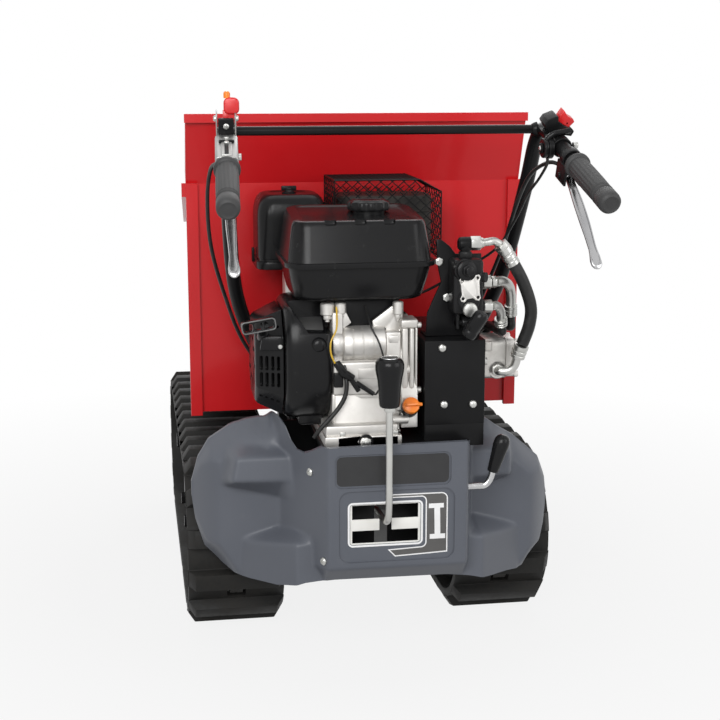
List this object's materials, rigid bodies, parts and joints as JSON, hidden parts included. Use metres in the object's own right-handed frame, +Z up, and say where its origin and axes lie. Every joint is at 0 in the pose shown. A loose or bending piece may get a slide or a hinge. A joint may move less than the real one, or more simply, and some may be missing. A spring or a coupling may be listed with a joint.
{
  "type": "tracked power carrier",
  "caption": "Walk-behind tracked carrier with a tipping steel bin, engine over the rear axle, belt drive, hydraulic lift and handlebar controls.",
  "frame": {"origin": "on the ground under the middle of the overall box", "axes": "+X to the right seen from behind, +Y forward to the bin lip, +Z up"},
  "size_m": [0.684, 1.5857, 1.0028],
  "materials": {
    "black_frame": "satin black paint",
    "red_sheet": "gloss red paint",
    "track_rubber": "matt black rubber",
    "wheel_steel": "dark cast steel",
    "grey_mould": "grained grey plastic",
    "white_gate": "white plastic",
    "black_plastic": "moulded black plastic",
    "bright_steel": "zinc plated steel",
    "chrome_steel": "polished chrome",
    "cast_alloy": "raw die casting",
    "grey_iron": "painted casting",
    "hose_rubber": "smooth black rubber",
    "soft_grip": "soft grip rubber",
    "burnt_steel": "heat dulled steel",
    "red_plastic": "red plastic",
    "orange_plastic": "orange plastic"
  },
  "bodies": {
    "chassis": {"main_frame": "black_frame", "gearbox_case": "grey_iron", "left_track_frame": "black_frame", "right_track_frame": "black_frame", "left_track": "track_rubber", "right_track": "track_rubber", "fairing": "grey_mould", "shift_gate": "white_gate", "fasteners": "bright_steel", "crankcase": "cast_alloy", "crankcase_cover": "cast_alloy", "cylinder_head": "cast_alloy", "fan_shroud": "black_plastic", "recoil_starter": "black_plastic", "drive_belt": "hose_rubber", "belt_guard": "black_frame", "valve_bracket": "black_frame", "control_valve": "grey_iron", "gear_pump": "cast_alloy", "hydraulic_fittings": "bright_steel", "hydraulic_hoses": "hose_rubber", "hydraulic_tank": "black_frame", "fuel_tank": "black_plastic", "air_cleaner": "black_plastic", "carburettor": "cast_alloy", "muffler": "burnt_steel", "muffler_guard": "black_frame", "handlebar": "black_frame", "grips": "soft_grip", "clutch_bracket": "bright_steel", "brake_bracket": "black_frame", "control_cables": "hose_rubber"},
    "bin": {"bin_shell": "red_sheet"},
    "lift_barrel": {"cylinder_barrel": "black_frame"},
    "lift_rod": {"cylinder_rod": "chrome_steel"},
    "left_sprocket_group": {"left_sprocket": "wheel_steel"},
    "left_idler_wheel": {"left_idler": "wheel_steel"},
    "left_roller_rear_wheel": {"left_roller_rear": "wheel_steel"},
    "left_roller_mid_wheel": {"left_roller_mid": "wheel_steel"},
    "left_roller_front_wheel": {"left_roller_front": "wheel_steel"},
    "right_sprocket_group": {"right_sprocket": "wheel_steel"},
    "right_idler_wheel": {"right_idler": "wheel_steel"},
    "right_roller_rear_wheel": {"right_roller_rear": "wheel_steel"},
    "right_roller_mid_wheel": {"right_roller_mid": "wheel_steel"},
    "right_roller_front_wheel": {"right_roller_front": "wheel_steel"},
    "crank_group": {"crankshaft": "grey_iron"},
    "input_pulley": {"driven_pulley": "grey_iron"},
    "gear_lever": {"shift_lever": "bright_steel", "shift_knob": "black_plastic"},
    "side_lever_group": {"side_lever": "chrome_steel", "side_knob": "black_plastic"},
    "valve_lever": {"valve_handle": "black_plastic"},
    "clutch_hand_lever": {"clutch_lever": "chrome_steel"},
    "brake_hand_lever": {"brake_lever": "chrome_steel"},
    "latch": {"clutch_latch": "red_plastic"},
    "throttle": {"throttle_lever": "black_plastic"},
    "stop_switch": {"stop_rocker": "red_plastic"},
    "starter_pull": {"starter_handle": "black_plastic"},
    "filler_cap": {"fuel_cap": "black_plastic"},
    "dipstick": {"oil_dipstick": "orange_plastic"}
  },
  "joints": [
    {"name": "bin_tip", "type": "hinge", "parent": "chassis", "child": "bin", "pos_m": [0, 0.658, 0.36], "axis": [-1, 0, 0], "range_deg": [0, 75]},
    {"name": "lift_swing", "type": "hinge", "parent": "chassis", "child": "lift_barrel", "pos_m": [0, 0.418, 0.16], "axis": [1, 0, 0], "range_deg": [-0.5, 0.1]},
    {"name": "lift_stroke", "type": "slide", "parent": "lift_barrel", "child": "lift_rod", "axis": [0, 0.6383, 0.7698], "range_m": [0, 0.0857]},
    {"name": "left_drive", "type": "hinge", "parent": "chassis", "child": "left_sprocket_group", "pos_m": [-0.253, -0.2, 0.165], "axis": [1, 0, 0], "continuous": true, "deforming": ["left_track"]},
    {"name": "left_idler_spin", "type": "hinge", "parent": "chassis", "child": "left_idler_wheel", "pos_m": [-0.253, 0.52, 0.165], "axis": [1, 0, 0], "continuous": true},
    {"name": "left_roller_rear_spin", "type": "hinge", "parent": "chassis", "child": "left_roller_rear_wheel", "pos_m": [-0.253, -0.012, 0.0775], "axis": [1, 0, 0], "continuous": true},
    {"name": "left_roller_mid_spin", "type": "hinge", "parent": "chassis", "child": "left_roller_mid_wheel", "pos_m": [-0.253, 0.158, 0.0775], "axis": [1, 0, 0], "continuous": true},
    {"name": "left_roller_front_spin", "type": "hinge", "parent": "chassis", "child": "left_roller_front_wheel", "pos_m": [-0.253, 0.328, 0.0775], "axis": [1, 0, 0], "continuous": true},
    {"name": "right_drive", "type": "hinge", "parent": "chassis", "child": "right_sprocket_group", "pos_m": [0.253, -0.2, 0.165], "axis": [1, 0, 0], "continuous": true, "deforming": ["right_track"]},
    {"name": "right_idler_spin", "type": "hinge", "parent": "chassis", "child": "right_idler_wheel", "pos_m": [0.253, 0.52, 0.165], "axis": [1, 0, 0], "continuous": true},
    {"name": "right_roller_rear_spin", "type": "hinge", "parent": "chassis", "child": "right_roller_rear_wheel", "pos_m": [0.253, -0.012, 0.0775], "axis": [1, 0, 0], "continuous": true},
    {"name": "right_roller_mid_spin", "type": "hinge", "parent": "chassis", "child": "right_roller_mid_wheel", "pos_m": [0.253, 0.158, 0.0775], "axis": [1, 0, 0], "continuous": true},
    {"name": "right_roller_front_spin", "type": "hinge", "parent": "chassis", "child": "right_roller_front_wheel", "pos_m": [0.253, 0.328, 0.0775], "axis": [1, 0, 0], "continuous": true},
    {"name": "crank_spin", "type": "hinge", "parent": "chassis", "child": "crank_group", "pos_m": [0, -0.412, 0.545], "axis": [1, 0, 0], "continuous": true},
    {"name": "input_spin", "type": "hinge", "parent": "chassis", "child": "input_pulley", "pos_m": [0.124, -0.262, 0.27], "axis": [1, 0, 0], "continuous": true},
    {"name": "gear_shift", "type": "hinge", "parent": "chassis", "child": "gear_lever", "pos_m": [-0.0145, -0.292, 0.262], "axis": [1, 0, 0], "range_deg": [-4, 4]},
    {"name": "side_lever_swing", "type": "hinge", "parent": "chassis", "child": "side_lever_group", "pos_m": [0.118, -0.432, 0.342], "axis": [1, 0, 0], "range_deg": [-15, 15]},
    {"name": "valve_lever_swing", "type": "hinge", "parent": "chassis", "child": "valve_lever", "pos_m": [0.143, -0.5, 0.622], "axis": [1, 0, 0], "range_deg": [-12, 12], "stiffness_Nm_per_rad": 4},
    {"name": "clutch_squeeze", "type": "hinge", "parent": "chassis", "child": "clutch_hand_lever", "pos_m": [-0.27562, -0.61107, 0.88021], "axis": [-0.9979, 0.0642, 0], "range_deg": [0, 24], "stiffness_Nm_per_rad": 2, "springref_deg": -20.05},
    {"name": "brake_squeeze", "type": "hinge", "parent": "chassis", "child": "brake_hand_lever", "pos_m": [0.27562, -0.61107, 0.88021], "axis": [-0.9979, -0.0642, 0], "range_deg": [0, 24], "stiffness_Nm_per_rad": 2, "springref_deg": -20.05},
    {"name": "latch_flip", "type": "hinge", "parent": "chassis", "child": "latch", "pos_m": [-0.27183, -0.55214, 0.96075], "axis": [0.9979, -0.0642, 0], "range_deg": [-15, 15]},
    {"name": "throttle_turn", "type": "hinge", "parent": "chassis", "child": "throttle", "pos_m": [0.24918, -0.57384, 0.92104], "axis": [0.9979, 0.0642, 0], "range_deg": [-20, 28]},
    {"name": "stop_rock", "type": "hinge", "parent": "chassis", "child": "stop_switch", "pos_m": [0.28599, -0.55411, 0.96294], "axis": [-0.0607, 0.9439, 0.3247], "range_deg": [-8, 8]},
    {"name": "starter_draw", "type": "slide", "parent": "chassis", "child": "starter_pull", "axis": [0, -0.788, 0.6157], "range_m": [0, 0.06], "stiffness_N_per_m": 60, "springref_m": -0.08},
    {"name": "cap_turn", "type": "hinge", "parent": "chassis", "child": "filler_cap", "pos_m": [-0.019, -0.412, 0.808], "axis": [0, 0, 1], "range_deg": [0, 90]},
    {"name": "dipstick_turn", "type": "hinge", "parent": "chassis", "child": "dipstick", "pos_m": [0.034, -0.522, 0.48], "axis": [0, -0.8829, 0.4695], "range_deg": [0, 90]}
  ],
  "couplings": [
    {"joint": "lift_stroke", "follows": "bin_tip", "m_per_rad": 0.065247},
    {"joint": "lift_swing", "follows": "bin_tip", "ratio": -0.006211},
    {"joint": "left_idler_spin", "follows": "left_drive", "ratio": 1},
    {"joint": "left_roller_rear_spin", "follows": "left_drive", "ratio": 3.274},
    {"joint": "left_roller_mid_spin", "follows": "left_drive", "ratio": 3.274},
    {"joint": "left_roller_front_spin", "follows": "left_drive", "ratio": 3.274},
    {"joint": "right_idler_spin", "follows": "right_drive", "ratio": 1},
    {"joint": "right_roller_rear_spin", "follows": "right_drive", "ratio": 3.274},
    {"joint": "right_roller_mid_spin", "follows": "right_drive", "ratio": 3.274},
    {"joint": "right_roller_front_spin", "follows": "right_drive", "ratio": 3.274},
    {"joint": "input_spin", "follows": "crank_spin", "ratio": 0.68966}
  ]
}
